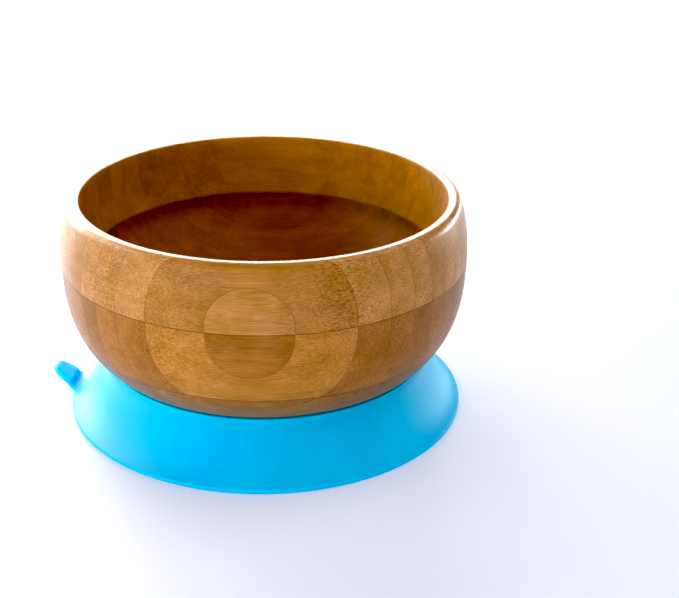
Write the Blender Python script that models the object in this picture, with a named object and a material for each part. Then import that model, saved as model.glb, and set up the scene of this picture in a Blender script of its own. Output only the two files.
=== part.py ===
"""A baby's weaning bowl: laminated bamboo, turned round, on a removable silicone suction base.

Units are metres and +Z is up. The origin is the centre of the sealing ring, on the table.
The bowl is built in its own grain frame, where +X runs along the bamboo fibres and the glued
boards stack along Y, and every piece is then turned by GRAIN_YAW about the vertical axis.
"""

import math

import bmesh
import bpy

MM = 0.001

# Driving dimensions of the wooden bowl.
RIM_HEIGHT = 67.0 * MM
BOWL_RADIUS = 60.5 * MM
WIDEST_HEIGHT = 50.0 * MM
UNDERSIDE_HEIGHT = 17.5 * MM
FLOOR_HEIGHT = 23.0 * MM
MOUTH_RADIUS = 54.3 * MM
RIM_CREST_RADIUS = 56.0 * MM
COURSE_JOINTS = (26.9 * MM, 48.3 * MM)

# The outside is a superellipse below the widest circle and an ellipse above it.
BELLY_HALF_HEIGHT = 44.4 * MM
BELLY_POWER = 2.7
SHOULDER_HALF_HEIGHT = 56.6 * MM
SHOULDER_POWER = 2.0
RIM_OUTER_DROP = 2.6 * MM
RIM_INNER_DROP = 0.5 * MM
UNDERSIDE_CORNER = 2.0 * MM

# The hollow is one superellipse hung from just under the rim.
HOLLOW_TOP = 66.5 * MM
HOLLOW_DEPTH = 43.7 * MM
HOLLOW_POWER = 2.3

# The turned foot, with a groove for the base's retaining bead.
FOOT_RADIUS = 40.0 * MM
FOOT_HEIGHT = 9.0 * MM
GROOVE_LOW = 11.0 * MM
GROOVE_HIGH = 13.4 * MM
GROOVE_DEPTH = 1.6 * MM

# The lamination: the front glue plane, and one board per pair of bamboo strips behind it.
STRIP_THICKNESS = 5.75 * MM
STRIPS_PER_BOARD = 2
FRONT_GLUE_PLANE = 59.3 * MM
THINNEST_BOARD = 3.0 * MM
GLUE_GAP = 0.3 * MM
GRAIN_YAW = math.radians(-45.0)

# The silicone suction base.
SEAL_RADIUS = 60.5 * MM
SEAL_INNER_RADIUS = 53.0 * MM
LIP_THICKNESS = 1.5 * MM
SKIRT_TOP_HEIGHT = 13.4 * MM
SKIRT_TOP_RADIUS = 51.0 * MM
SKIRT_TOP_EDGE = 0.6 * MM
SKIRT_BORE_RADIUS = 48.3 * MM
SKIRT_BORE_HEIGHT = 9.0 * MM
FLARE_PULLS = ((53.0 * MM, 8.6 * MM), (55.6 * MM, 3.0 * MM))
CHAMBER_PULLS = ((52.6 * MM, 2.0 * MM), (50.0 * MM, 4.6 * MM))
LIP_ROUNDING = 0.4 * MM
LIP_SHOULDER_HEIGHT = 0.9 * MM
COLLAR_RADIUS = 48.0 * MM
COLLAR_TOP_HEIGHT = 17.2 * MM
COLLAR_SHOULDER_HEIGHT = 15.5 * MM
COLLAR_SHOULDER_RADIUS = 49.4 * MM
COLLAR_BORE_RADIUS = 40.3 * MM
PAN_UNDERSIDE_HEIGHT = 7.3 * MM
PAN_TOP_HEIGHT = 8.7 * MM
COLLAR_LOWER_CHAMFER = 1.5 * MM
COLLAR_TOP_EDGE = 0.5 * MM
BEAD_RADII = (38.8 * MM, 40.0 * MM)
BEAD_HEIGHTS = (11.4 * MM, 13.0 * MM)

# The release tab stands on the skirt's edge, close to the grain's -X side.
TAB_YAW = math.radians(-2.0)
TAB_PIVOT_RADIUS = 61.0 * MM
TAB_PIVOT_HEIGHT = 1.9 * MM
TAB_RISE = math.radians(38.0)
TAB_ROOT_GAP = 0.3 * MM
TAB_LENGTH = 8.0 * MM
TAB_ROOT_WIDTH = 11.0 * MM
TAB_TIP_WIDTH = 6.4 * MM
TAB_THICKNESS = 2.2 * MM
TAB_EDGE = 0.5 * MM

SEGMENTS = 64
REACH = 80.0 * MM
WELD = 1e-6


def clear_scene():
    for old in list(bpy.data.objects):
        bpy.data.objects.remove(old, do_unlink=True)


def material(name, colour, roughness):
    made = bpy.data.materials.new(name)
    made.use_nodes = True
    shader = made.node_tree.nodes["Principled BSDF"]
    shader.inputs["Base Color"].default_value = (*colour, 1.0)
    shader.inputs["Roughness"].default_value = roughness
    shader.inputs["Metallic"].default_value = 0.0
    made.diffuse_color = (*colour, 1.0)
    return made


def blend(low, high, share):
    return low + (high - low) * share


# Profiles, as (radius, height) points -------------------------------------------------------


def superellipse(radius, depth, power, top, high, low, count):
    """Points down a superellipse that is radius wide at top, from height high to height low."""
    start = math.asin(min(1.0, ((top - high) / depth) ** (power / 2.0)))
    end = math.asin(min(1.0, ((top - low) / depth) ** (power / 2.0)))
    points = []
    for index in range(count):
        angle = blend(start, end, index / (count - 1))
        across = radius * math.cos(angle) ** (2.0 / power)
        down = depth * math.sin(angle) ** (2.0 / power)
        points.append((across, top - down))
    return points


def belly(high, low, count):
    return superellipse(BOWL_RADIUS, BELLY_HALF_HEIGHT, BELLY_POWER, WIDEST_HEIGHT, high, low, count)


def shoulder_point(height):
    rise = (height - WIDEST_HEIGHT) / SHOULDER_HALF_HEIGHT
    return BOWL_RADIUS * (1.0 - rise**SHOULDER_POWER) ** (1.0 / SHOULDER_POWER), height


def hollow(high, low, count):
    return superellipse(MOUTH_RADIUS, HOLLOW_DEPTH, HOLLOW_POWER, HOLLOW_TOP, high, low, count)


def quarter(centre, start, end, half_widths, count):
    """Points on an elliptical arc about centre, between two angles in degrees."""
    points = []
    for index in range(count):
        angle = math.radians(blend(start, end, index / (count - 1)))
        across = centre[0] + half_widths[0] * math.cos(angle)
        points.append((across, centre[1] + half_widths[1] * math.sin(angle)))
    return points


def curve(start, pull_a, pull_b, end, count):
    """Points along a cubic Bezier curve."""
    points = []
    for index in range(count):
        t = index / (count - 1)
        weights = ((1 - t) ** 3, 3 * t * (1 - t) ** 2, 3 * t * t * (1 - t), t**3)
        corners = (start, pull_a, pull_b, end)
        across = sum(w * c[0] for w, c in zip(weights, corners))
        points.append((across, sum(w * c[1] for w, c in zip(weights, corners))))
    return points


def rim_course_outline():
    low = COURSE_JOINTS[1] + GLUE_GAP / 2.0
    rim_start = shoulder_point(RIM_HEIGHT - RIM_OUTER_DROP)
    crest_outer = (RIM_CREST_RADIUS, rim_start[1])
    outer_half = (rim_start[0] - RIM_CREST_RADIUS, RIM_OUTER_DROP)
    crest_inner = (RIM_CREST_RADIUS, RIM_HEIGHT - RIM_INNER_DROP)
    inner_half = (RIM_CREST_RADIUS - MOUTH_RADIUS, RIM_INNER_DROP)
    outside = quarter(crest_outer, 90.0, 0.0, outer_half, 4)
    inside = quarter(crest_inner, 180.0, 90.0, inner_half, 3)
    flank = [shoulder_point(blend(rim_start[1], WIDEST_HEIGHT, share)) for share in (0.33, 0.67, 1.0)]
    wall = hollow(crest_inner[1], low, 5)
    return outside + flank + belly(WIDEST_HEIGHT, low, 2)[1:] + wall[::-1] + inside[1:-1]


def wall_course_outline():
    high = COURSE_JOINTS[1] - GLUE_GAP / 2.0
    low = COURSE_JOINTS[0] + GLUE_GAP / 2.0
    return belly(high, low, 6) + hollow(high, low, 7)[::-1]


def floor_course_outline():
    high = COURSE_JOINTS[0] - GLUE_GAP / 2.0
    corner_high = UNDERSIDE_HEIGHT + UNDERSIDE_CORNER
    outside = belly(high, corner_high, 3)
    edge = belly(corner_high, UNDERSIDE_HEIGHT, 2)[-1]
    inward = (edge[0] - UNDERSIDE_CORNER, UNDERSIDE_HEIGHT)
    corner = curve(outside[-1], edge, edge, inward, 4)[1:]
    groove_radius = FOOT_RADIUS - GROOVE_DEPTH
    foot = [
        (FOOT_RADIUS, UNDERSIDE_HEIGHT),
        (FOOT_RADIUS, GROOVE_HIGH),
        (groove_radius, GROOVE_HIGH),
        (groove_radius, GROOVE_LOW),
        (FOOT_RADIUS, GROOVE_LOW),
        (FOOT_RADIUS, FOOT_HEIGHT),
        (0.0, FOOT_HEIGHT),
        (0.0, FLOOR_HEIGHT),
    ]
    return outside + corner + foot + hollow(high, FLOOR_HEIGHT, 5)[::-1]


def skirt_outline():
    """The flared wall, from its top edge down the outside, round the lip and up the inside."""
    start = (SKIRT_TOP_RADIUS, SKIRT_TOP_HEIGHT - SKIRT_TOP_EDGE)
    end = (SEAL_RADIUS - LIP_ROUNDING, LIP_THICKNESS)
    flare = curve(start, *FLARE_PULLS, end, 9)
    lip = [
        (SEAL_RADIUS, LIP_SHOULDER_HEIGHT),
        (SEAL_RADIUS, LIP_ROUNDING),
        (SEAL_RADIUS - LIP_ROUNDING, 0.0),
    ]
    sealing_edge = (SEAL_INNER_RADIUS, 0.0)
    chamber = curve(sealing_edge, *CHAMBER_PULLS, (SKIRT_BORE_RADIUS, SKIRT_BORE_HEIGHT), 5)
    top = [
        (SKIRT_BORE_RADIUS, SKIRT_TOP_HEIGHT),
        (SKIRT_TOP_RADIUS - SKIRT_TOP_EDGE, SKIRT_TOP_HEIGHT),
    ]
    return flare + lip + chamber + top


def collar_outline():
    """The ring that grips the foot, with the pan that closes it below."""
    return [
        (COLLAR_SHOULDER_RADIUS - COLLAR_TOP_EDGE, COLLAR_TOP_HEIGHT),
        (COLLAR_SHOULDER_RADIUS, COLLAR_TOP_HEIGHT - COLLAR_TOP_EDGE),
        (COLLAR_SHOULDER_RADIUS, COLLAR_SHOULDER_HEIGHT),
        (COLLAR_RADIUS, COLLAR_SHOULDER_HEIGHT),
        (COLLAR_RADIUS, PAN_UNDERSIDE_HEIGHT + COLLAR_LOWER_CHAMFER),
        (COLLAR_RADIUS - COLLAR_LOWER_CHAMFER, PAN_UNDERSIDE_HEIGHT),
        (0.0, PAN_UNDERSIDE_HEIGHT),
        (0.0, PAN_TOP_HEIGHT),
        (COLLAR_BORE_RADIUS, PAN_TOP_HEIGHT),
        (COLLAR_BORE_RADIUS, COLLAR_TOP_HEIGHT),
    ]


def bead_outline():
    middle = (sum(BEAD_RADII) / 2.0, sum(BEAD_HEIGHTS) / 2.0)
    return [
        (BEAD_RADII[1], BEAD_HEIGHTS[1]),
        (BEAD_RADII[1], BEAD_HEIGHTS[0]),
        (middle[0], BEAD_HEIGHTS[0]),
        (BEAD_RADII[0], middle[1]),
        (middle[0], BEAD_HEIGHTS[1]),
    ]


# Meshes -------------------------------------------------------------------------------------


def turned(outline):
    """A closed turned solid. The outline runs down the outside, and then back up the inside."""
    mesh = bmesh.new()
    rings = []
    for radius, height in outline:
        if radius < WELD:
            rings.append([mesh.verts.new((0.0, 0.0, height))] * SEGMENTS)
            continue
        ring = []
        for index in range(SEGMENTS):
            angle = 2.0 * math.pi * index / SEGMENTS
            ring.append(mesh.verts.new((radius * math.cos(angle), radius * math.sin(angle), height)))
        rings.append(ring)
    for upper, lower in zip(rings, rings[1:] + rings[:1]):
        for index in range(SEGMENTS):
            after = (index + 1) % SEGMENTS
            corners = (upper[index], lower[index], lower[after], upper[after])
            unique = list(dict.fromkeys(corners))
            if len(unique) > 2:
                mesh.faces.new(unique)
    bmesh.ops.recalc_face_normals(mesh, faces=mesh.faces)
    return mesh


def keep_side(mesh, point, normal):
    """Cuts the mesh at a plane, keeps what lies behind the normal and closes the cut."""
    everything = mesh.verts[:] + mesh.edges[:] + mesh.faces[:]
    cut = bmesh.ops.bisect_plane(
        mesh, geom=everything, plane_co=point, plane_no=normal, dist=WELD, clear_outer=True
    )
    rim = [item for item in cut["geom_cut"] if isinstance(item, bmesh.types.BMEdge)]
    open_edges = [edge for edge in rim if edge.is_valid and len(edge.link_faces) == 1]
    if open_edges:
        bmesh.ops.holes_fill(mesh, edges=open_edges, sides=0)


def add_piece(name, mesh, finish, yaw=GRAIN_YAW):
    bmesh.ops.recalc_face_normals(mesh, faces=mesh.faces)
    data = bpy.data.meshes.new(name)
    mesh.to_mesh(data)
    mesh.free()
    data.materials.append(finish)
    data.shade_smooth()
    data.set_sharp_from_angle(angle=math.radians(30.0))
    piece = bpy.data.objects.new(name, data)
    piece.rotation_euler = (0.0, 0.0, yaw)
    bpy.context.scene.collection.objects.link(piece)
    return piece


def board_planes(radius):
    """The boards across a course of this radius, front to back, as (number, near, far)."""
    pitch = STRIP_THICKNESS * STRIPS_PER_BOARD
    boards = []
    if radius > FRONT_GLUE_PLANE:
        boards.append((0, REACH, FRONT_GLUE_PLANE))
    number = 1
    near = FRONT_GLUE_PLANE
    while near > -radius:
        far = near - pitch
        if far < THINNEST_BOARD - radius:
            far = -REACH
        boards.append((number, near, far))
        number += 1
        near = far
    return boards


def slice_board(course, near, far):
    """One board of the course. The boards' front faces look along -Y."""
    board = course.copy()
    keep_side(board, (0.0, GLUE_GAP / 2.0 - near, 0.0), (0.0, -1.0, 0.0))
    keep_side(board, (0.0, -GLUE_GAP / 2.0 - far, 0.0), (0.0, 1.0, 0.0))
    return board


def count_bodies(mesh):
    """How many separate bodies the mesh holds."""
    left = set(mesh.verts)
    bodies = 0
    while left:
        bodies += 1
        reached = [left.pop()]
        while reached:
            vertex = reached.pop()
            for edge in vertex.link_edges:
                other = edge.other_vert(vertex)
                if other in left:
                    left.remove(other)
                    reached.append(other)
    return bodies


def build_course(prefix, outline, finish):
    """A course of boards. A board that the hollow cuts through is two pieces, left and right."""
    course = turned(outline)
    radius = max(point[0] for point in outline)
    for number, near, far in board_planes(radius):
        board = slice_board(course, near, far)
        if count_bodies(board) == 1:
            add_piece(f"{prefix}_board_{number:02d}", board, finish)
            continue
        for side, direction in (("left", 1.0), ("right", -1.0)):
            half = board.copy()
            keep_side(half, (0.0, 0.0, 0.0), (direction, 0.0, 0.0))
            add_piece(f"{prefix}_board_{number:02d}_{side}", half, finish)
        board.free()
    course.free()


def build_tab(finish):
    """The tongue, drawn flat along +X from its pivot, then raised and turned outward."""
    tip_radius = TAB_TIP_WIDTH / 2.0
    outline = [(TAB_ROOT_GAP, -TAB_ROOT_WIDTH / 2.0)]
    outline += quarter((TAB_LENGTH - tip_radius, 0.0), -80.0, 80.0, (tip_radius, tip_radius), 9)
    outline.append((TAB_ROOT_GAP, TAB_ROOT_WIDTH / 2.0))
    mesh = bmesh.new()
    under = [mesh.verts.new((along, across, -TAB_THICKNESS / 2.0)) for along, across in outline]
    face = mesh.faces.new(under)
    raised = bmesh.ops.extrude_face_region(mesh, geom=[face])
    top = [item for item in raised["geom"] if isinstance(item, bmesh.types.BMVert)]
    bmesh.ops.translate(mesh, verts=top, vec=(0.0, 0.0, TAB_THICKNESS))
    tab = add_piece("pull_tab", mesh, finish)
    outward = math.pi + GRAIN_YAW + TAB_YAW
    tab.rotation_euler = (0.0, -TAB_RISE, outward)
    reach = TAB_PIVOT_RADIUS
    tab.location = (reach * math.cos(outward), reach * math.sin(outward), TAB_PIVOT_HEIGHT)
    edge = tab.modifiers.new("soft_edge", "BEVEL")
    edge.width = TAB_EDGE
    edge.segments = 2


def main():
    clear_scene()
    rim_wood = material("bamboo_rim_course", (0.62, 0.33, 0.10), 0.35)
    wall_wood = material("bamboo_wall_course", (0.45, 0.20, 0.05), 0.35)
    floor_wood = material("bamboo_floor_course", (0.40, 0.17, 0.04), 0.38)
    silicone = material("cyan_silicone", (0.0, 0.50, 0.86), 0.45)
    build_course("rim", rim_course_outline(), rim_wood)
    build_course("wall", wall_course_outline(), wall_wood)
    build_course("floor", floor_course_outline(), floor_wood)
    add_piece("suction_skirt", turned(skirt_outline()), silicone)
    add_piece("foot_collar", turned(collar_outline()), silicone)
    add_piece("snap_bead", turned(bead_outline()), silicone)
    build_tab(silicone)


main()
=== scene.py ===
"""Studio scene of a bamboo weaning bowl standing on its silicone suction base.

Lengths are metres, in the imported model's frame: +Z is up, and the origin is the centre of the
sealing ring, on the table. The bamboo is described in its own grain frame, where +X runs along the
fibres and the glued strips stack along Y, and is then turned by GRAIN_YAW about the vertical axis.
"""

import math
import random

import bmesh
import bpy
from mathutils import Matrix, Vector


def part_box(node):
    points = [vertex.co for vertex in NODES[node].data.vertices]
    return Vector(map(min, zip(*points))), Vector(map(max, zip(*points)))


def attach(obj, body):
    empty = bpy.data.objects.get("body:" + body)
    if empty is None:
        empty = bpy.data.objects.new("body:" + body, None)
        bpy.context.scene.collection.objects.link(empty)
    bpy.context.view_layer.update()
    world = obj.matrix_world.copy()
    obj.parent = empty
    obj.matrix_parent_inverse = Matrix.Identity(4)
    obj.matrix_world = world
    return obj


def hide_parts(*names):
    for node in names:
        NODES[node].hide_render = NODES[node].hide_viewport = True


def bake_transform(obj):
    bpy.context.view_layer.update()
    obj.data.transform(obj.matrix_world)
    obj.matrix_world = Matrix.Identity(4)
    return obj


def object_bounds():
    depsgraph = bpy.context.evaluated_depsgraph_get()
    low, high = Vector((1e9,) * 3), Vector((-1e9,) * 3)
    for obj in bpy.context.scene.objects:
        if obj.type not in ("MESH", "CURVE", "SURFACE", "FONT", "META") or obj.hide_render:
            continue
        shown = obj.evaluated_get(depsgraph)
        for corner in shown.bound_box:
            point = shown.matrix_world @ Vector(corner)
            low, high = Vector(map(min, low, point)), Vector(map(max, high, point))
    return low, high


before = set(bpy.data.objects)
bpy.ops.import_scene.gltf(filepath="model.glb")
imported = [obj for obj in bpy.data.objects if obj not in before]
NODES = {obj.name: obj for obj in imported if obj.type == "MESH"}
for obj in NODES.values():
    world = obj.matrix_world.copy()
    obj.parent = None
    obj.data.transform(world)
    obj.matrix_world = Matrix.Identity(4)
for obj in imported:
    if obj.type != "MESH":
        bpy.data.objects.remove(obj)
CAD_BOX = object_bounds()
MM = 0.001

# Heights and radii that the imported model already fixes.
RIM_HEIGHT = CAD_BOX[1].z
SEAL_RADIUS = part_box("suction_skirt")[1].x
FOOT_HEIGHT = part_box("floor_board_05")[0].z
GLUE_GAP = 0.3 * MM
COURSE_JOINTS = (
    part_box("wall_board_05_left")[0].z - GLUE_GAP / 2.0,
    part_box("wall_board_05_left")[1].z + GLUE_GAP / 2.0,
)
COLLAR_TOP_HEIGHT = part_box("foot_collar")[1].z
PAN_UNDERSIDE_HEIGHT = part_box("foot_collar")[0].z
BEAD_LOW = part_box("snap_bead")[0].z
BEAD_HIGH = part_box("snap_bead")[1].z

# The turned outside and inside of the bowl.
BOWL_RADIUS = 60.5 * MM
WIDEST_HEIGHT = 50.0 * MM
BELLY_HALF_HEIGHT = 44.4 * MM
BELLY_POWER = 2.7
SHOULDER_HALF_HEIGHT = 56.6 * MM
SHOULDER_POWER = 2.0
MOUTH_RADIUS = 54.3 * MM
RIM_CREST_RADIUS = 56.0 * MM
RIM_OUTER_DROP = 2.6 * MM
RIM_INNER_DROP = 0.5 * MM
ROUNDING_PULL = 0.6
HOLLOW_TOP = 66.5 * MM
HOLLOW_DEPTH = 43.7 * MM
HOLLOW_POWER = 2.3
FLOOR_HEIGHT = 23.0 * MM
UNDERSIDE_HEIGHT = 17.5 * MM
UNDERSIDE_CORNER = 2.0 * MM

# The turned foot and its groove.
FOOT_RADIUS = 40.0 * MM
FOOT_EDGE = 0.6 * MM
GROOVE_LOW = 11.0 * MM
GROOVE_HIGH = 13.4 * MM
GROOVE_DEPTH = 1.6 * MM

# The lamination.
STRIP_THICKNESS = 5.75 * MM
FRONT_GLUE_PLANE = 59.3 * MM
STRIP_COUNT = 22
GRAIN_YAW = math.radians(-45.0)
SEAM = 0.02 * MM
GLUE_LINE = 0.28 * MM

# The silicone base.
SEAL_INNER_RADIUS = 53.0 * MM
LIP_THICKNESS = 1.5 * MM
LIP_ROUNDING = 0.4 * MM
FLARE_TOP = (51.0 * MM, 12.8 * MM)
FLARE_PULLS = ((53.0 * MM, 8.6 * MM), (55.6 * MM, 3.0 * MM))
CHAMBER_PULLS = ((52.6 * MM, 2.0 * MM), (50.0 * MM, 4.6 * MM))
CHAMBER_TOP_HEIGHT = 9.0 * MM
NECK_TOP = (49.35 * MM, 16.6 * MM)
NECK_PULLS = ((49.45 * MM, 15.4 * MM), (50.3 * MM, 14.27 * MM))
NECK_EDGE_RADIUS = 48.75 * MM
WALL_BORE_RADIUS = 48.05 * MM
COLLAR_RADIUS = 48.0 * MM
COLLAR_ROUNDING = 1.5 * MM
COLLAR_BORE_RADIUS = 40.3 * MM
BORE_CHAMFER = 0.5 * MM
PAN_TOP_HEIGHT = 8.7 * MM
BEAD_RADII = (38.8 * MM, 40.35 * MM)

# The release tab.
TAB_DIRECTION = math.pi + GRAIN_YAW + math.radians(-2.0)
TAB_PIVOT = (61.0 * MM, 1.9 * MM)
TAB_ROOT = (-1.9 * MM, 0.85 * MM)
TAB_KNEE = (1.1 * MM, 2.75 * MM)
TAB_RISE = math.radians(38.0)
TAB_LENGTH = 8.0 * MM
TAB_ROOT_HALF_WIDTH = 6.4 * MM
TAB_HALF_WIDTH = 5.3 * MM
TAB_TIP_HALF_WIDTH = 3.7 * MM
TAB_HALF_THICKNESS = 1.1 * MM
TAB_ROOT_HALF_THICKNESS = 0.62 * MM
TAB_SECTION_POWER = 3.0

WOOD_SEGMENTS = 192
SILICONE_SEGMENTS = 192
TAB_ROWS = 41
TAB_BEND_ROWS = 15
TAB_SIDES = 32
WELD = 1e-6


def blend(low, high, share):
    return low + (high - low) * share


def smooth(share):
    share = max(0.0, min(1.0, share))
    return share * share * (3.0 - 2.0 * share)


# Camera -------------------------------------------------------------------------------------

# The picture's own frame has the camera looking along +Y; VIEW_TURN brings it into the row frame.
VIEW_TURN = math.radians(-44.3)
CAMERA_PLACE = (22.47 * MM, -359.7 * MM, 192.7 * MM)
CAMERA_PITCH = math.radians(24.06)
CAMERA_ROLL = math.radians(0.81)
CAMERA_LENS = 68.06
SENSOR_WIDTH = 36.0


def in_view_frame(x, y, z):
    """A place given as seen from the camera (right, away, up), in the row frame."""
    return Matrix.Rotation(VIEW_TURN, 3, "Z") @ Vector((x, y, z))


def add_camera():
    forward = Vector((0.0, math.cos(CAMERA_PITCH), -math.sin(CAMERA_PITCH)))
    upward = Vector((0.0, math.sin(CAMERA_PITCH), math.cos(CAMERA_PITCH)))
    sideways = Vector((1.0, 0.0, 0.0))
    right = sideways * math.cos(CAMERA_ROLL) + upward * math.sin(CAMERA_ROLL)
    above = upward * math.cos(CAMERA_ROLL) - sideways * math.sin(CAMERA_ROLL)
    turn = Matrix.Rotation(VIEW_TURN, 4, "Z")
    columns = Matrix((right, above, -forward)).transposed().to_4x4()
    data = bpy.data.cameras.new("photo_camera")
    data.lens = CAMERA_LENS
    data.sensor_width = SENSOR_WIDTH
    data.clip_start = 0.01
    data.clip_end = 50.0
    camera = bpy.data.objects.new("photo_camera", data)
    camera.matrix_world = turn @ Matrix.Translation(CAMERA_PLACE) @ columns
    bpy.context.scene.collection.objects.link(camera)
    bpy.context.scene.camera = camera


# Profiles, as (radius, height) points -------------------------------------------------------


def superellipse(radius, depth, power, top, high, low, count):
    """Points down a superellipse that is radius wide at top, from height high to height low."""
    start = math.asin(min(1.0, max(0.0, (top - high) / depth) ** (power / 2.0)))
    end = math.asin(min(1.0, max(0.0, (top - low) / depth) ** (power / 2.0)))
    points = []
    for index in range(count):
        angle = blend(start, end, index / (count - 1))
        across = radius * math.cos(angle) ** (2.0 / power)
        down = depth * math.sin(angle) ** (2.0 / power)
        points.append((across, top - down))
    return points


def belly(high, low, count):
    return superellipse(
        BOWL_RADIUS, BELLY_HALF_HEIGHT, BELLY_POWER, WIDEST_HEIGHT, high, low, count
    )


def shoulder_point(height):
    rise = (height - WIDEST_HEIGHT) / SHOULDER_HALF_HEIGHT
    return BOWL_RADIUS * (1.0 - rise**SHOULDER_POWER) ** (1.0 / SHOULDER_POWER), height


def hollow(high, low, count):
    return superellipse(MOUTH_RADIUS, HOLLOW_DEPTH, HOLLOW_POWER, HOLLOW_TOP, high, low, count)


def arc(centre, start, end, half_widths, count):
    """Points on an elliptical arc about centre, between two angles in degrees."""
    points = []
    for index in range(count):
        angle = math.radians(blend(start, end, index / (count - 1)))
        across = centre[0] + half_widths[0] * math.cos(angle)
        points.append((across, centre[1] + half_widths[1] * math.sin(angle)))
    return points


def curve(start, pull_a, pull_b, end, count):
    """Points along a cubic Bezier curve."""
    points = []
    for index in range(count):
        t = index / (count - 1)
        weights = ((1 - t) ** 3, 3 * t * (1 - t) ** 2, 3 * t * t * (1 - t), t**3)
        corners = (start, pull_a, pull_b, end)
        across = sum(w * c[0] for w, c in zip(weights, corners))
        points.append((across, sum(w * c[1] for w, c in zip(weights, corners))))
    return points


def steps(start, end, count):
    """Evenly spaced points on a straight line, both ends included."""
    return [
        (blend(start[0], end[0], i / (count - 1)), blend(start[1], end[1], i / (count - 1)))
        for i in range(count)
    ]


def rim_rounding(count):
    """From the crest out and down to the flank, which it meets in the flank's own direction."""
    end = shoulder_point(RIM_HEIGHT - RIM_OUTER_DROP)
    above = shoulder_point(end[1] + 0.1 * MM)
    lean = (above[0] - end[0]) / (above[1] - end[1])
    pull = ROUNDING_PULL * RIM_OUTER_DROP
    pull_a = (blend(RIM_CREST_RADIUS, end[0], ROUNDING_PULL), RIM_HEIGHT)
    pull_b = (end[0] + lean * pull, end[1] + pull)
    return curve((RIM_CREST_RADIUS, RIM_HEIGHT), pull_a, pull_b, end, count)


def rim_course_outline():
    low = COURSE_JOINTS[1] + SEAM / 2.0
    rim_start = shoulder_point(RIM_HEIGHT - RIM_OUTER_DROP)
    crest_inner = (RIM_CREST_RADIUS, RIM_HEIGHT - RIM_INNER_DROP)
    inner_half = (RIM_CREST_RADIUS - MOUTH_RADIUS, RIM_INNER_DROP)
    outside = rim_rounding(14)
    inside = arc(crest_inner, 180.0, 90.0, inner_half, 9)
    flank = [
        shoulder_point(blend(rim_start[1], WIDEST_HEIGHT, (index + 1) / 12)) for index in range(12)
    ]
    wall = hollow(crest_inner[1], low, 16)
    return outside + flank + belly(WIDEST_HEIGHT, low, 3)[1:] + wall[::-1] + inside[1:-1]


def wall_course_outline():
    high = COURSE_JOINTS[1] - SEAM / 2.0
    low = COURSE_JOINTS[0] + SEAM / 2.0
    return belly(high, low, 22) + hollow(high, low, 22)[::-1]


def floor_course_outline():
    high = COURSE_JOINTS[0] - SEAM / 2.0
    corner_high = UNDERSIDE_HEIGHT + UNDERSIDE_CORNER
    outside = belly(high, corner_high, 10)
    edge = belly(corner_high, UNDERSIDE_HEIGHT, 2)[-1]
    inward = (edge[0] - UNDERSIDE_CORNER, UNDERSIDE_HEIGHT)
    corner = curve(outside[-1], edge, edge, inward, 8)[1:]
    groove_radius = FOOT_RADIUS - GROOVE_DEPTH
    foot = steps(inward, (FOOT_RADIUS, UNDERSIDE_HEIGHT), 4)[1:]
    foot += [
        (FOOT_RADIUS, GROOVE_HIGH),
        (groove_radius, GROOVE_HIGH),
        (groove_radius, GROOVE_LOW),
        (FOOT_RADIUS, GROOVE_LOW),
        (FOOT_RADIUS, FOOT_HEIGHT + FOOT_EDGE),
    ]
    edge_centre = (FOOT_RADIUS - FOOT_EDGE, FOOT_HEIGHT + FOOT_EDGE)
    foot += arc(edge_centre, 0.0, -90.0, (FOOT_EDGE, FOOT_EDGE), 5)[1:]
    foot += steps((FOOT_RADIUS - FOOT_EDGE, FOOT_HEIGHT), (0.0, FOOT_HEIGHT), 6)[1:]
    inner = hollow(high, FLOOR_HEIGHT, 16)[::-1]
    return outside + corner + foot + [(0.0, FLOOR_HEIGHT)] + inner


def skirt_outline():
    """The flared wall with its neck: down the outside, round the lip and up the inside."""
    neck = curve(NECK_TOP, *NECK_PULLS, FLARE_TOP, 9)
    lip_start = (SEAL_RADIUS - LIP_ROUNDING, LIP_THICKNESS)
    flare = curve(FLARE_TOP, *FLARE_PULLS, lip_start, 30)[1:]
    lip_centre = (SEAL_RADIUS - LIP_ROUNDING, LIP_THICKNESS / 2.0)
    lip = arc(lip_centre, 80.0, -90.0, (LIP_ROUNDING, LIP_THICKNESS / 2.0), 10)
    sealing = steps((lip_centre[0], 0.0), (SEAL_INNER_RADIUS, 0.0), 5)[1:]
    bore_low = (WALL_BORE_RADIUS, CHAMBER_TOP_HEIGHT)
    chamber = curve((SEAL_INNER_RADIUS, 0.0), *CHAMBER_PULLS, bore_low, 14)[1:]
    bore_high = (WALL_BORE_RADIUS, COLLAR_TOP_HEIGHT)
    bore = steps(bore_low, bore_high, 9)[1:]
    top_corner = (NECK_TOP[0], COLLAR_TOP_HEIGHT)
    edge = curve((NECK_EDGE_RADIUS, COLLAR_TOP_HEIGHT), top_corner, top_corner, NECK_TOP, 6)[:-1]
    return neck + flare + lip + sealing + chamber + bore + edge


def collar_outline():
    """The ring that grips the foot, with the pan that closes it below."""
    centre = (COLLAR_RADIUS - COLLAR_ROUNDING, PAN_UNDERSIDE_HEIGHT + COLLAR_ROUNDING)
    outer = steps((COLLAR_RADIUS, COLLAR_TOP_HEIGHT), (COLLAR_RADIUS, centre[1]), 3)
    corner = arc(centre, 0.0, -90.0, (COLLAR_ROUNDING, COLLAR_ROUNDING), 7)[1:]
    under = steps((centre[0], PAN_UNDERSIDE_HEIGHT), (0.0, PAN_UNDERSIDE_HEIGHT), 8)[1:]
    pan = steps((0.0, PAN_TOP_HEIGHT), (COLLAR_BORE_RADIUS, PAN_TOP_HEIGHT), 6)
    bore = [
        (COLLAR_BORE_RADIUS, COLLAR_TOP_HEIGHT - BORE_CHAMFER),
        (COLLAR_BORE_RADIUS + BORE_CHAMFER, COLLAR_TOP_HEIGHT),
    ]
    return outer + corner + under + pan + bore


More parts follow.
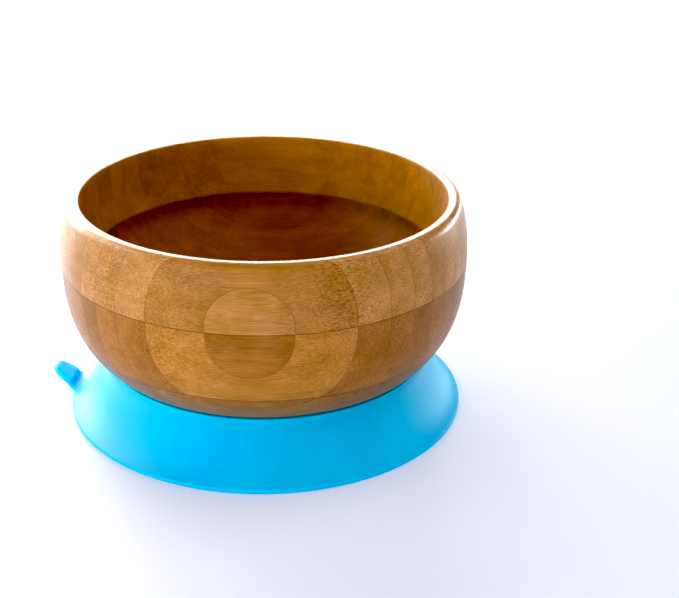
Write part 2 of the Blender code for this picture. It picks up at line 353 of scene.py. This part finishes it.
def bead_outline():
    middle = (BEAD_LOW + BEAD_HIGH) / 2.0
    half_height = (BEAD_HIGH - BEAD_LOW) / 2.0
    half_widths = (BEAD_RADII[1] - BEAD_RADII[0], half_height)
    return arc((BEAD_RADII[1], middle), 90.0, 270.0, half_widths, 11)[::-1]


# Meshes -------------------------------------------------------------------------------------


def turned(outline, segments):
    """A closed turned solid. The outline runs down the outside, and then back up the inside."""
    mesh = bmesh.new()
    rings = []
    for radius, height in outline:
        if radius < WELD:
            rings.append([mesh.verts.new((0.0, 0.0, height))] * segments)
            continue
        ring = []
        for index in range(segments):
            angle = 2.0 * math.pi * index / segments
            place = (radius * math.cos(angle), radius * math.sin(angle), height)
            ring.append(mesh.verts.new(place))
        rings.append(ring)
    for upper, lower in zip(rings, rings[1:] + rings[:1]):
        for index in range(segments):
            after = (index + 1) % segments
            corners = (upper[index], lower[index], lower[after], upper[after])
            unique = list(dict.fromkeys(corners))
            if len(unique) > 2:
                mesh.faces.new(unique).smooth = True
    bmesh.ops.recalc_face_normals(mesh, faces=mesh.faces)
    return mesh


def keep_side(mesh, point, normal):
    """Cuts the mesh at a plane, keeps what lies behind the normal and closes the cut."""
    everything = mesh.verts[:] + mesh.edges[:] + mesh.faces[:]
    cut = bmesh.ops.bisect_plane(
        mesh, geom=everything, plane_co=point, plane_no=normal, dist=WELD, clear_outer=True
    )
    rim = [item for item in cut["geom_cut"] if isinstance(item, bmesh.types.BMEdge)]
    open_edges = [edge for edge in rim if edge.is_valid and len(edge.link_faces) == 1]
    if open_edges:
        filled = bmesh.ops.holes_fill(mesh, edges=open_edges, sides=0)
        for face in filled["faces"]:
            face.smooth = False


def finish_piece(name, mesh, material, crease=35.0):
    """Makes the object, in the row frame, with edges over the crease angle left sharp."""
    bmesh.ops.recalc_face_normals(mesh, faces=mesh.faces)
    data = bpy.data.meshes.new(name)
    mesh.to_mesh(data)
    mesh.free()
    data.set_sharp_from_angle(angle=math.radians(crease))
    data.materials.append(material)
    piece = bpy.data.objects.new(name, data)
    bpy.context.scene.collection.objects.link(piece)
    return piece


def grain_span(node):
    """The front and back glue planes of a CAD board, as Y in the grain frame."""
    unturn = Matrix.Rotation(-GRAIN_YAW, 3, "Z")
    across = [(unturn @ vertex.co).y for vertex in NODES[node].data.vertices]
    return min(across), max(across)


def build_course(prefix, outline, material):
    """One piece for every CAD board of the course, cut from one smooth turned ring."""
    course = turned(outline, WOOD_SEGMENTS)
    turn = Matrix.Rotation(GRAIN_YAW, 4, "Z")
    widening = (GLUE_GAP - SEAM) / 2.0
    nodes = sorted(name for name in NODES if name.startswith(prefix + "_board"))
    radius = max(point[0] for point in outline)
    for node in nodes:
        front, back = grain_span(node)
        board = course.copy()
        if front > 2.0 * GLUE_GAP - radius:
            keep_side(board, (0.0, front - widening, 0.0), (0.0, -1.0, 0.0))
        if back < radius - 2.0 * GLUE_GAP:
            keep_side(board, (0.0, back + widening, 0.0), (0.0, 1.0, 0.0))
        if node.endswith("_left"):
            keep_side(board, (0.0, 0.0, 0.0), (1.0, 0.0, 0.0))
        if node.endswith("_right"):
            keep_side(board, (0.0, 0.0, 0.0), (-1.0, 0.0, 0.0))
        board.transform(turn)
        piece = finish_piece("bamboo_" + node, board, material)
        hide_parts(node)
        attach(piece, "bowl")
    course.free()


def outward_point(radius, height):
    """A point in the upright plane through the tab."""
    across = Vector((math.cos(TAB_DIRECTION), math.sin(TAB_DIRECTION), 0.0)) * radius
    return across + Vector((0.0, 0.0, height))


def bulged(share):
    """A sine or cosine, changed so that a circle's section turns into the tab's squarer one."""
    return math.copysign(abs(share) ** (2.0 / TAB_SECTION_POWER), share)


def tab_middle_line():
    """The tab's middle line as (outward from the pivot, height): a bend up, then straight."""
    root_pull = (TAB_ROOT[0] * 0.4, TAB_ROOT[1])
    knee_pull = (0.2 * MM, TAB_ROOT[1] + 0.25 * MM)
    rise = TAB_LENGTH * math.sin(TAB_RISE)
    tip = (TAB_LENGTH * math.cos(TAB_RISE), TAB_PIVOT[1] + rise)
    bend = curve(TAB_ROOT, root_pull, knee_pull, TAB_KNEE, TAB_BEND_ROWS)
    return bend + steps(TAB_KNEE, tip, TAB_ROWS - TAB_BEND_ROWS + 1)[1:]


def tab_half_sizes(travelled, total):
    """Half the tab's width and thickness, at a distance travelled along its middle line."""
    share = travelled / total
    left = total - travelled
    width = blend(TAB_ROOT_HALF_WIDTH, TAB_HALF_WIDTH, smooth(share / 0.3))
    width = blend(width, TAB_TIP_HALF_WIDTH, smooth((share - 0.25) / 0.75) * 0.9)
    thickness = blend(TAB_ROOT_HALF_THICKNESS, TAB_HALF_THICKNESS, smooth(share / 0.4))

    # The end is round as seen from above, and its edge is rounded over.
    from_round = min(1.0, left / (TAB_TIP_HALF_WIDTH * 0.95))
    from_edge = min(1.0, left / (TAB_HALF_THICKNESS * 1.3))
    width *= blend(0.005, 1.0, math.sqrt(1.0 - (1.0 - from_round) ** 2.4))
    thickness *= blend(0.04, 1.0, math.sqrt(1.0 - (1.0 - from_edge) ** 2))
    return width, thickness


def build_tab(material):
    """A tongue with a rounded end, lofted along its middle line from inside the sealing lip."""
    outward = Vector((math.cos(TAB_DIRECTION), math.sin(TAB_DIRECTION), 0.0))
    sideways = Vector((-outward.y, outward.x, 0.0))
    centres = [Vector((*point, 0.0)) for point in tab_middle_line()]
    travelled = [0.0]
    for before, after in zip(centres, centres[1:]):
        travelled.append(travelled[-1] + (after - before).length)
    mesh = bmesh.new()
    rings = []
    for index, centre in enumerate(centres):
        before = centres[max(0, index - 1)]
        after = centres[min(TAB_ROWS - 1, index + 1)]
        slope = (after - before).normalized()
        lift = outward * -slope.y + Vector((0.0, 0.0, slope.x))
        width, thickness = tab_half_sizes(travelled[index], travelled[-1])
        base = outward_point(TAB_PIVOT[0] + centre.x, centre.y)
        ring = []
        for step in range(TAB_SIDES):
            angle = 2.0 * math.pi * step / TAB_SIDES
            across = bulged(math.cos(angle)) * width
            up = bulged(math.sin(angle)) * thickness
            ring.append(mesh.verts.new(base + sideways * across + lift * up))
        rings.append(ring)
    for first, second in zip(rings, rings[1:]):
        for step in range(TAB_SIDES):
            after = (step + 1) % TAB_SIDES
            corners = (first[step], first[after], second[after], second[step])
            mesh.faces.new(corners).smooth = True
    mesh.faces.new(rings[0][::-1])
    mesh.faces.new(rings[-1]).smooth = True
    piece = finish_piece("silicone_pull_tab", mesh, material, crease=60.0)
    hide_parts("pull_tab")
    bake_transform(piece)
    return piece


def build_base(material):
    skirt = turned(skirt_outline(), SILICONE_SEGMENTS)
    piece = finish_piece("silicone_suction_skirt", skirt, material)
    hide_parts("suction_skirt")
    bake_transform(piece)
    collar = turned(collar_outline(), SILICONE_SEGMENTS // 2)
    piece = finish_piece("silicone_foot_collar", collar, material)
    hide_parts("foot_collar")
    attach(piece, "base")
    bead = turned(bead_outline(), SILICONE_SEGMENTS // 2)
    piece = finish_piece("silicone_snap_bead", bead, material)
    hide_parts("snap_bead")
    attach(piece, "base")


# Materials ----------------------------------------------------------------------------------

# The bamboo's patterns, in cycles per millimetre: along the fibres, through the stack, and up.
BUNDLE_SCALE = (0.03, 1.75, 1.6)
FINE_SCALE = (0.03, 3.0, 3.2)
BROAD_SCALE = (0.012, 0.35, 0.35)
CLOUD_SCALE = (0.10, 0.12, 0.14)
WANDER_SCALE = (0.03, 0.12, 0.12)
GLUE_PATCH_SCALE = (0.2, 0.2, 0.2)
BUNDLE_RANDOMNESS = 0.55
BUNDLE_DARKENING = 0.66
WANDER = 2.2
STRIP_SHIFT = 97.0
FINE_SWING = 0.22

# How clear the pattern is at the front and back, and in the hollow, where it is 1 on the sides.
FRONT_CLARITY = 0.45
HOLLOW_CLARITY = 0.35
HOLLOW_EVENNESS = 0.65

BUNDLE_TINT = (0.50, 0.38, 0.26)
GOLDEN_TINT = (0.95, 0.97, 0.60)
FLECK_TINT = (1.12, 1.34, 2.2)
GLUE_COLOUR = (0.085, 0.028, 0.004)
SILICONE_BLOOM = ((0.0, (0.0, 0.545, 0.955)), (1.0, (0.0, 0.60, 0.995)))


class Graph:
    """Adds nodes to a new material. Any input takes a number, a vector or another output."""

    def __init__(self, name):
        self.material = bpy.data.materials.new(name)
        self.material.use_nodes = True
        self.tree = self.material.node_tree
        self.shader = self.tree.nodes["Principled BSDF"]

    def feed(self, socket, value):
        if isinstance(value, bpy.types.NodeSocket):
            self.tree.links.new(value, socket)
        else:
            socket.default_value = value

    def math(self, operation, *values):
        node = self.tree.nodes.new("ShaderNodeMath")
        node.operation = operation
        for socket, value in zip(node.inputs, values):
            self.feed(socket, value)
        return node.outputs[0]

    def product(self, first, *others):
        for other in others:
            first = self.math("MULTIPLY", first, other)
        return first

    def distance(self, x, y):
        """How far the point (x, y) lies from the origin."""
        return self.math("SQRT", self.math("ADD", self.product(x, x), self.product(y, y)))

    def vector(self, operation, first, second):
        node = self.tree.nodes.new("ShaderNodeVectorMath")
        node.operation = operation
        self.feed(node.inputs[0], first)
        self.feed(node.inputs[1], second)
        return node.outputs[0]

    def scaled(self, vector, factor):
        node = self.tree.nodes.new("ShaderNodeVectorMath")
        node.operation = "SCALE"
        self.feed(node.inputs[0], vector)
        self.feed(node.inputs["Scale"], factor)
        return node.outputs[0]

    def fade(self, value, low, high, to_low=0.0, to_high=1.0):
        """A smooth step of the value from to_low, at low, to to_high, at high."""
        node = self.tree.nodes.new("ShaderNodeMapRange")
        node.interpolation_type = "SMOOTHSTEP"
        for socket, item in zip(node.inputs, (value, low, high, to_low, to_high)):
            self.feed(socket, item)
        return node.outputs[0]

    def ramp(self, value, stops, interpolation="LINEAR"):
        node = self.tree.nodes.new("ShaderNodeValToRGB")
        node.color_ramp.interpolation = interpolation
        set_stops(node.color_ramp.elements, stops)
        self.feed(node.inputs[0], value)
        return node.outputs[0]

    def mix(self, share, first, second, mode="MIX"):
        node = self.tree.nodes.new("ShaderNodeMix")
        node.data_type = "RGBA"
        node.blend_type = mode
        self.feed(node.inputs[0], share)
        self.feed(node.inputs[6], first)
        self.feed(node.inputs[7], second)
        return node.outputs[2]

    def tinted(self, colour, tint):
        return self.mix(1.0, colour, (*tint, 1.0), "MULTIPLY")

    def noise(self, place, scales, detail, roughness=0.5):
        node = self.tree.nodes.new("ShaderNodeTexNoise")
        self.feed(node.inputs["Vector"], self.vector("MULTIPLY", place, scales))
        node.inputs["Scale"].default_value = 1.0
        node.inputs["Detail"].default_value = detail
        node.inputs["Roughness"].default_value = roughness
        return node.outputs["Fac"]

    def cells(self, place, scales, randomness):
        """The distance to the middle of the nearest cell, and that cell's random colour."""
        node = self.tree.nodes.new("ShaderNodeTexVoronoi")
        self.feed(node.inputs["Vector"], self.vector("MULTIPLY", place, scales))
        node.inputs["Scale"].default_value = 1.0
        node.inputs["Randomness"].default_value = randomness
        return node.outputs["Distance"], node.outputs["Color"]

    def white_noise(self, value):
        node = self.tree.nodes.new("ShaderNodeTexWhiteNoise")
        node.noise_dimensions = "1D"
        self.feed(node.inputs["W"], value)
        return node.outputs["Value"]

    def place(self, turn=0.0):
        """The row frame's place in millimetres, turned about Z."""
        source = self.tree.nodes.new("ShaderNodeTexCoord")
        turned_place = self.tree.nodes.new("ShaderNodeVectorRotate")
        turned_place.rotation_type = "Z_AXIS"
        turned_place.inputs["Angle"].default_value = turn
        self.feed(turned_place.inputs["Vector"], source.outputs["Object"])
        return self.vector("MULTIPLY", turned_place.outputs[0], (1.0 / MM,) * 3)

    def split(self, place):
        node = self.tree.nodes.new("ShaderNodeSeparateXYZ")
        self.feed(node.inputs[0], place)
        return node.outputs

    def join(self, x, y, z):
        node = self.tree.nodes.new("ShaderNodeCombineXYZ")
        for socket, value in zip(node.inputs, (x, y, z)):
            self.feed(socket, value)
        return node.outputs[0]

    def bump(self, height, strength, distance):
        node = self.tree.nodes.new("ShaderNodeBump")
        node.inputs["Strength"].default_value = strength
        node.inputs["Distance"].default_value = distance
        self.feed(node.inputs["Height"], height)
        self.feed(self.shader.inputs["Normal"], node.outputs[0])


def set_stops(elements, stops):
    """Gives a colour ramp the (position, colour) stops."""
    while len(elements) < len(stops):
        elements.new(1.0)
    for element, (position, colour) in zip(elements, stops):
        element.position = position
        element.color = (*colour, 1.0)


def strip_stops(light, dark, shares, seed):
    """One colour stop for each strip: the listed shares of dark first, then steady random ones."""
    steady = random.Random(seed)
    stops = []
    for strip in range(STRIP_COUNT):
        share = shares[strip] if strip < len(shares) else steady.uniform(0.1, 0.8)
        colour = tuple(blend(a, b, share) for a, b in zip(light, dark))
        stops.append((strip / STRIP_COUNT, colour))
    return stops


def find_strip(graph, y, seed):
    """The strip's number, how far through it the point lies, and the strip's own random value."""
    front = graph.math("ADD", y, FRONT_GLUE_PLANE / MM)
    stack = graph.math("DIVIDE", front, STRIP_THICKNESS / MM)
    number = graph.math("FLOOR", stack)
    through = graph.math("FRACT", stack)
    own = graph.white_noise(graph.math("ADD", number, seed * 31.7))
    return number, through, own


def towards_skin(graph, through, own):
    """From 0 to 1 across a strip. The 1 side, with the largest dots, faces either way by strip."""
    faces_back = graph.math("GREATER_THAN", own, 0.5)
    faces_front = graph.math("SUBTRACT", 1.0, faces_back)
    to_front = graph.math("SUBTRACT", 1.0, through)
    from_front_side = graph.product(faces_back, through)
    return graph.math("ADD", from_front_side, graph.product(faces_front, to_front))


def hollow_mask(graph, x, y, z, inside_radius):
    """1 in the hollow, above its floor and nearer the axis than inside_radius, and 0 elsewhere."""
    radius = graph.distance(x, y)
    within = graph.fade(radius, inside_radius / MM - 0.8, inside_radius / MM, 1.0, 0.0)
    above = graph.fade(z, FLOOR_HEIGHT / MM - 0.4, FLOOR_HEIGHT / MM - 0.1)
    return graph.product(within, above)


def wavy_place(graph, place):
    """The place, moved a little sideways so that straight fibres wander along their length."""
    drift = graph.math("SUBTRACT", graph.noise(place, WANDER_SCALE, 1.0), 0.5)
    drift = graph.product(drift, WANDER)
    x, y, z = graph.split(place)
    return graph.join(x, graph.math("ADD", y, drift), graph.math("ADD", z, drift))


def bundle_dots(graph, wavy, skin):
    """Vascular bundles: long cells that show as dots on the cut ends and as lines along the face."""
    distance, cell = graph.cells(wavy, BUNDLE_SCALE, BUNDLE_RANDOMNESS)
    size = graph.fade(skin, 0.0, 1.0, 0.28, 0.44)
    core = graph.product(size, 0.5)
    outside = graph.math("ADD", size, 0.14)
    dot = graph.fade(distance, core, outside, 1.0, 0.0)
    return graph.product(dot, graph.fade(graph.split(cell)[0], 0.0, 1.0, 0.45, 1.0))


def strip_lines(graph, x, z, through, inside, strength):
    """Glue lines between strips, drawn narrower where the surface cuts them at a shallow angle."""
    from_middle = graph.math("ABSOLUTE", graph.math("SUBTRACT", through, 0.5))
    from_glue = graph.product(graph.math("SUBTRACT", 0.5, from_middle), STRIP_THICKNESS / MM)
    rise = graph.math("SUBTRACT", z, WIDEST_HEIGHT / MM)
    steepness = graph.math("DIVIDE", graph.distance(x, rise), BOWL_RADIUS / MM)
    half_line = graph.product(graph.math("MAXIMUM", steepness, 0.15), GLUE_LINE / MM / 2.0)
    line = graph.fade(from_glue, graph.product(half_line, 0.5), half_line, strength, 0.0)
    return graph.product(line, graph.fade(inside, 0.0, 1.0, 1.0, 0.4))


def course_lines(graph, z, inside):
    """Glue lines between courses. In the hollow a broad darker band runs along and below them."""
    lines = []
    for joint in COURSE_JOINTS:
        over = graph.math("SUBTRACT", z, joint / MM)
        outer = graph.fade(graph.math("ABSOLUTE", over), 0.08, 0.18, 1.0, 0.0)
        band = graph.product(graph.fade(over, 0.1, 0.9, 0.95, 0.0), inside)
        band = graph.product(band, graph.fade(over, -6.0, -0.4))
        lines.append(graph.math("MAXIMUM", outer, band))
    return graph.math("MAXIMUM", *lines)


def bamboo(name, light, dark, shares, seed, inside_radius, hollow_shade_tint, line_strength):
    """Laminated bamboo: strips with their own tone, fibre bundles along X and thin glue lines.

    The hollow, nearer the axis than inside_radius, is tinted darker and deeper in colour: painted
    shade."""
    graph = Graph(name)
    x, y, z = graph.split(graph.place(turn=-GRAIN_YAW))
    number, through, own = find_strip(graph, y, seed)
    skin = towards_skin(graph, through, own)
    inside = hollow_mask(graph, x, y, z, inside_radius)

    # The pattern is plainest where the surface runs along the fibres, and in the hollow.
    clarity = graph.fade(graph.math("ABSOLUTE", x), 6.0, 26.0, FRONT_CLARITY, 1.0)
    clarity = graph.product(clarity, graph.fade(inside, 0.0, 1.0, 1.0, HOLLOW_CLARITY))

    # Every strip has its own stretch of pattern.
    shift = graph.product(own, STRIP_SHIFT)
    slid = graph.join(graph.math("ADD", x, shift), graph.math("ADD", y, shift), z)
    wavy = wavy_place(graph, slid)
    dot = bundle_dots(graph, wavy, skin)
    fine = graph.noise(wavy, FINE_SCALE, 3.0, 0.62)
    broad = graph.noise(wavy, BROAD_SCALE, 2.0)
    cloud = graph.noise(slid, CLOUD_SCALE, 3.0, 0.55)

    # The strips' tones, more even in the hollow, with streaks along the fibres.
    ramp_place = graph.math("DIVIDE", graph.math("ADD", number, 1.5), STRIP_COUNT)
    tone = graph.ramp(ramp_place, strip_stops(light, dark, shares, seed), "CONSTANT")
    average = tuple(blend(a, b, 0.45) for a, b in zip(light, dark))
    tone = graph.mix(graph.product(inside, HOLLOW_EVENNESS), tone, (*average, 1.0))
    swing = graph.product(graph.math("POWER", clarity, 0.5), FINE_SWING)
    darkest = graph.math("SUBTRACT", 1.0, swing)
    brightness = graph.fade(fine, 0.3, 0.7, darkest, graph.math("ADD", 1.0, swing))
    brightness = graph.product(brightness, graph.fade(broad, 0.3, 0.7, 0.92, 1.08))
    brightness = graph.product(brightness, graph.fade(cloud, 0.3, 0.7, 0.90, 1.08))
    colour = graph.scaled(tone, brightness)

    # Golden patches, dark bundles, pale flecks, and the hollow's painted shade.
    golden = graph.tinted(colour, GOLDEN_TINT)
    colour = graph.mix(graph.fade(cloud, 0.38, 0.58, 0.7, 0.0), colour, golden)
    shade = graph.tinted(colour, BUNDLE_TINT)
    colour = graph.mix(graph.product(dot, clarity, BUNDLE_DARKENING), colour, shade)
    pale = graph.vector("MULTIPLY", colour, FLECK_TINT)
    fleck = graph.product(graph.fade(fine, 0.50, 0.70), clarity, 0.6)
    colour = graph.mix(fleck, colour, pale)
    # Painted shade: the hollow is tinted darker and deeper in colour.
    colour = graph.mix(inside, colour, graph.tinted(colour, hollow_shade_tint))

    line = strip_lines(graph, x, z, through, inside, line_strength)
    line = graph.math("MAXIMUM", line, course_lines(graph, z, inside))
    patchy = graph.noise(slid, GLUE_PATCH_SCALE, 1.0)
    line = graph.product(line, graph.fade(patchy, 0.3, 0.7, 0.5, 0.8))
    colour = graph.mix(line, colour, (*GLUE_COLOUR, 1.0))
    graph.feed(graph.shader.inputs["Base Color"], colour)

    # A thin satin coat outside. The bundles and the hollow are duller.
    rough = graph.fade(fine, 0.3, 0.7, 0.30, 0.40)
    rough = graph.math("ADD", rough, graph.product(dot, 0.06))
    rough = graph.math("ADD", rough, graph.product(inside, 0.22))
    graph.feed(graph.shader.inputs["Roughness"], rough)
    graph.feed(graph.shader.inputs["Coat Weight"], graph.fade(inside, 0.0, 1.0, 0.24, 0.03))
    graph.shader.inputs["Coat Roughness"].default_value = 0.23
    graph.shader.inputs["Specular IOR Level"].default_value = 0.10
    height = graph.math("SUBTRACT", graph.product(fine, 0.5), graph.product(dot, 0.6))
    height = graph.math("SUBTRACT", height, graph.product(line, 0.8))
    graph.bump(height, 0.35, 0.03 * MM)
    return graph.material


def silicone(name):
    """Moulded silicone: satin, evenly coloured, with the mould's fine texture and a little bloom."""
    graph = Graph(name)
    place = graph.place()
    bloom = graph.noise(place, (0.06,) * 3, 3.0, 0.55)
    grain = graph.noise(place, (2.4,) * 3, 2.0, 0.6)
    colour = graph.ramp(graph.fade(bloom, 0.3, 0.7), SILICONE_BLOOM)
    graph.feed(graph.shader.inputs["Base Color"], colour)
    graph.feed(graph.shader.inputs["Roughness"], graph.fade(grain, 0.3, 0.7, 0.50, 0.60))
    graph.shader.inputs["Specular IOR Level"].default_value = 0.15
    graph.shader.inputs["Subsurface Weight"].default_value = 0.30
    graph.shader.inputs["Subsurface Radius"].default_value = (0.2, 0.8, 1.0)
    graph.shader.inputs["Subsurface Scale"].default_value = 2.5 * MM
    graph.bump(grain, 0.25, 0.02 * MM)
    return graph.material


# Stage --------------------------------------------------------------------------------------

BLACK_LEVEL = 0.03
STAGE_RADIUS = 2.2
FLOOR_DROP = 0.05 * MM
FLOOR_COLOUR = (0.80, 0.825, 0.94)
FLOOR_GLOW_COLOUR = (0.92, 0.94, 1.0)
FLOOR_GLOW_RADII = (0.7, 1.8)
FLOOR_GLOW = (0.13, 0.7)
SKY_STRENGTH = 1.2
SKY_STOPS = (
    (0.0, (0.72, 0.72, 0.75)),
    (0.15, (0.45, 0.45, 0.48)),
    (0.40, (0.24, 0.24, 0.26)),
    (0.80, (0.08, 0.08, 0.09)),
)
PANEL_COLOUR = (0.97, 0.97, 1.0)
PANEL_AIM = (0.0, 0.0, 0.04)


def add_stage():
    """A round pale floor that glows more towards its edge, so that it fades into the sky."""
    mesh = bmesh.new()
    bmesh.ops.create_circle(mesh, cap_ends=True, segments=96, radius=STAGE_RADIUS)
    data = bpy.data.meshes.new("studio_floor")
    mesh.to_mesh(data)
    mesh.free()
    floor = bpy.data.objects.new("studio_floor", data)
    floor.location.z = -FLOOR_DROP
    bpy.context.scene.collection.objects.link(floor)
    graph = Graph("pale_floor")
    graph.shader.inputs["Base Color"].default_value = (*FLOOR_COLOUR, 1.0)
    graph.shader.inputs["Roughness"].default_value = 0.6
    graph.shader.inputs["Specular IOR Level"].default_value = 0.2
    graph.shader.inputs["Emission Color"].default_value = (*FLOOR_GLOW_COLOUR, 1.0)
    x, y, _ = graph.split(graph.place())
    near, far = (radius / MM for radius in FLOOR_GLOW_RADII)
    glow = graph.fade(graph.distance(x, y), near, far, *FLOOR_GLOW)
    graph.feed(graph.shader.inputs["Emission Strength"], glow)
    data.materials.append(graph.material)


def add_sky():
    """Dim light from all round, paler towards the horizon."""
    world = bpy.data.worlds.new("studio_sky")
    world.use_nodes = True
    bpy.context.scene.world = world
    tree = world.node_tree
    background = tree.nodes["Background"]
    source = tree.nodes.new("ShaderNodeTexCoord")
    parts = tree.nodes.new("ShaderNodeSeparateXYZ")
    ramp = tree.nodes.new("ShaderNodeValToRGB")
    tree.links.new(source.outputs["Generated"], parts.inputs[0])
    tree.links.new(parts.outputs["Z"], ramp.inputs["Fac"])
    tree.links.new(ramp.outputs["Color"], background.inputs["Color"])
    ramp.color_ramp.interpolation = "EASE"
    set_stops(ramp.color_ramp.elements, SKY_STOPS)
    background.inputs["Strength"].default_value = SKY_STRENGTH


def add_panel(name, place, width, height, watts, lights=True, shines=True):
    """A soft panel at a place in the view frame, in metres, aimed at the bowl."""
    data = bpy.data.lights.new(name, "AREA")
    data.shape = "RECTANGLE"
    data.size = width
    data.size_y = height
    data.energy = watts
    data.color = PANEL_COLOUR
    panel = bpy.data.objects.new(name, data)
    panel.location = in_view_frame(*place)
    towards = in_view_frame(*PANEL_AIM) - panel.location
    panel.rotation_mode = "QUATERNION"
    panel.rotation_quaternion = towards.to_track_quat("-Z", "Y")
    panel.visible_camera = False
    panel.visible_diffuse = lights
    panel.visible_glossy = shines
    bpy.context.scene.collection.objects.link(panel)
    return panel


def add_panels(tab):
    """Panels that light and shine, then some that only shine and some that only light."""
    add_panel("window", (-0.65, 0.95, 0.25), 0.9, 0.5, 7.0)
    add_panel("left_key", (-1.0, -0.1, 0.34), 0.9, 0.4, 3.7)
    add_panel("back_panel", (0.35, 1.3, 0.07), 2.0, 0.10, 4.0)
    add_panel("overhead", (0.55, 0.1, 1.05), 0.9, 0.9, 6.6)

    add_panel("window_glow", (-0.75, 0.90, 0.14), 0.9, 0.4, 46.0, lights=False)
    add_panel("left_glow", (-0.95, 0.17, 0.68), 0.7, 0.5, 9.0, lights=False)
    add_panel("right_glow", (0.9, 0.8, 0.06), 0.7, 0.12, 9.0, lights=False)
    add_panel("rim_strip", (-0.39, 1.14, 0.66), 1.5, 0.60, 50.0, lights=False)

    add_panel("back_top", (-0.5, 0.85, 0.85), 0.6, 0.5, 3.0, shines=False)
    add_panel("upper_left", (-0.45, 0.0, 1.05), 0.6, 0.6, 1.6, shines=False)
    add_panel("front_fill", (-0.75, -0.98, 0.26), 0.9, 0.4, 7.0, shines=False)

    # The bowl shades the tab more than it should, so one panel lights only that.
    tab_fill = add_panel("tab_fill", (-0.40, -0.15, 0.60), 0.3, 0.3, 5.0, shines=False)
    lit_by_tab_fill = bpy.data.collections.new("lit_by_tab_fill")
    lit_by_tab_fill.objects.link(tab)
    tab_fill.light_linking.receiver_collection = lit_by_tab_fill


def set_contrast():
    """A plain display curve with slightly crushed blacks, as in a bright product picture."""
    view = bpy.context.scene.view_settings
    view.view_transform = "Standard"
    view.use_curve_mapping = True
    view.curve_mapping.black_level = (BLACK_LEVEL,) * 3
    view.curve_mapping.update()


def build_bowl():
    # Each course's tint for the hollow is painted shade.
    rim_wood = bamboo(
        "bamboo_rim_course",
        light=(0.56, 0.26, 0.072),
        dark=(0.38, 0.155, 0.026),
        shares=(0.25, 0.6, 0.15, 0.3, 0.1, 0.5, 0.3),
        seed=1,
        inside_radius=MOUTH_RADIUS + 0.6 * MM,
        hollow_shade_tint=(0.86, 0.78, 0.20),
        line_strength=0.6,
    )
    wall_wood = bamboo(
        "bamboo_wall_course",
        light=(0.52, 0.218, 0.045),
        dark=(0.27, 0.10, 0.012),
        shares=(0.55, 0.0, 0.55, 0.5, 0.7, 0.5, 0.6),
        seed=2,
        inside_radius=MOUTH_RADIUS,
        hollow_shade_tint=(0.76, 0.60, 0.18),
        line_strength=0.35,
    )
    floor_wood = bamboo(
        "bamboo_floor_course",
        light=(0.40, 0.17, 0.030),
        dark=(0.24, 0.09, 0.015),
        shares=(0.3, 0.3, 0.3, 0.5, 0.4, 0.5, 0.6),
        seed=3,
        inside_radius=FOOT_RADIUS,
        hollow_shade_tint=(0.74, 0.68, 0.18),
        line_strength=0.3,
    )
    build_course("rim", rim_course_outline(), rim_wood)
    build_course("wall", wall_course_outline(), wall_wood)
    build_course("floor", floor_course_outline(), floor_wood)


def main():
    add_camera()
    build_bowl()
    rubber = silicone("cyan_silicone")
    build_base(rubber)
    tab = build_tab(rubber)
    add_stage()
    add_sky()
    add_panels(tab)
    set_contrast()


main()
